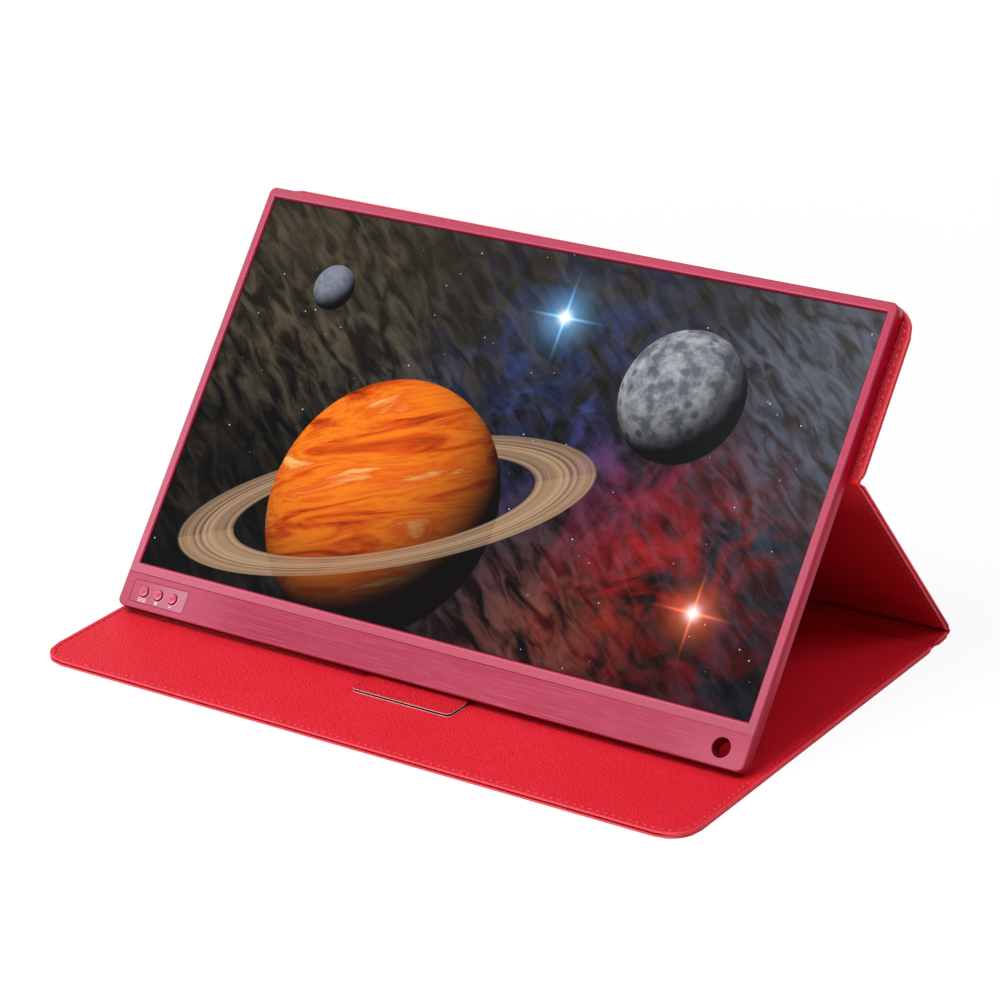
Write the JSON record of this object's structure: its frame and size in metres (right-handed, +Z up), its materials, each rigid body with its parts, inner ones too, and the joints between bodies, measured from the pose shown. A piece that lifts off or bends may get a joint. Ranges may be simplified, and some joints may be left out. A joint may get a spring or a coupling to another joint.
{
  "type": "portable monitor with cover",
  "caption": "Slim portable monitor with a thin metal frame, front buttons and side sockets, carried by a folding leather cover whose back panels prop it up on a base flap.",
  "frame": {"origin": "middle of the footprint, on the surface that the base flap lies on", "axes": "+X across the screen to the viewer's right, +Y away from the viewer, +Z up"},
  "size_m": [0.362, 0.2406, 0.1799],
  "materials": {
    "rose_metal": "anodised rose, satin",
    "brushed_bar": "anodised rose, brushed across",
    "key_plate": "anodised rose, fine matt",
    "keys": "satin rose",
    "screen_front": "clear hard coat, smooth",
    "display_glass": "dark glass",
    "optical_film": "translucent white",
    "led_strip": "white lamps on a thin strip",
    "bare_metal": "plain sheet",
    "circuit_board": "green solder mask",
    "chips": "black moulded",
    "flat_cable": "amber film",
    "socket_metal": "plated",
    "screw_metal": "dark plated",
    "speaker_plastic": "black moulded",
    "magnet_metal": "nickel plated",
    "foam_tape": "thin foam",
    "tab_filler": "dark edge",
    "outer_leather": "red grained, turned edges",
    "lining_leather": "red cross-grained, turned edges",
    "stiffener_board": "dark board"
  },
  "bodies": {
    "base": {"base_skin": "outer_leather", "base_board": "stiffener_board", "base_lining": "lining_leather", "base_magnets": "magnet_metal", "tab_lower_ply": "lining_leather", "tab_core": "tab_filler", "tab_upper_ply": "lining_leather", "crease_base": "outer_leather"},
    "spine": {"spine_skin": "outer_leather", "spine_board": "stiffener_board", "spine_lining": "lining_leather", "crease_spine": "outer_leather"},
    "prop": {"prop_skin": "outer_leather", "prop_board": "stiffener_board", "prop_lining": "lining_leather", "crease_back": "outer_leather"},
    "screen": {"front_frame": "rose_metal", "lower_bar": "brushed_bar", "button_plate": "key_plate", "tact_switches": "chips", "button_board": "circuit_board", "polariser": "screen_front", "lcd_cell": "display_glass", "diffuser_film": "optical_film", "light_guide": "optical_film", "led_strip": "led_strip", "reflector_film": "optical_film", "panel_chassis": "bare_metal", "panel_board": "circuit_board", "main_board": "circuit_board", "board_chips": "chips", "display_cable": "flat_cable", "button_cable": "flat_cable", "usb_c_sockets": "socket_metal", "hdmi_socket": "socket_metal", "board_screws": "screw_metal", "speaker_left": "speaker_plastic", "speaker_right": "speaker_plastic", "frame_magnets": "magnet_metal", "rear_shell": "rose_metal", "shell_screws": "screw_metal", "back_tape": "foam_tape", "back_skin": "outer_leather", "back_board": "stiffener_board", "back_lining": "lining_leather"},
    "menu_key": {"button_menu": "keys"},
    "plus_key": {"button_plus": "keys"},
    "minus_key": {"button_minus": "keys"}
  },
  "joints": [
    {"name": "spine_fold", "type": "hinge", "parent": "base", "child": "spine", "pos_m": [0, 0.10288, 0.0015], "axis": [1, 0, 0], "range_deg": [-5.01, 0]},
    {"name": "prop_fold", "type": "hinge", "parent": "spine", "child": "prop", "pos_m": [0, 0.11882, 0.00289], "axis": [1, 0, 0], "range_deg": [-124, 0]},
    {"name": "back_fold", "type": "hinge", "parent": "prop", "child": "screen", "pos_m": [0, 0.03197, 0.11014], "axis": [1, 0, 0], "range_deg": [0, 78.01]},
    {"name": "menu_press", "type": "slide", "parent": "screen", "child": "menu_key", "axis": [0, 0.7771, -0.6293], "range_m": [0, 0.0004], "stiffness_N_per_m": 2500},
    {"name": "plus_press", "type": "slide", "parent": "screen", "child": "plus_key", "axis": [0, 0.7771, -0.6293], "range_m": [0, 0.0004], "stiffness_N_per_m": 2500},
    {"name": "minus_press", "type": "slide", "parent": "screen", "child": "minus_key", "axis": [0, 0.7771, -0.6293], "range_m": [0, 0.0004], "stiffness_N_per_m": 2500}
  ],
  "couplings": [
    {"joint": "spine_fold", "follows": "prop_fold", "ratio": 0.040322},
    {"joint": "back_fold", "follows": "prop_fold", "ratio": -0.62903}
  ]
}
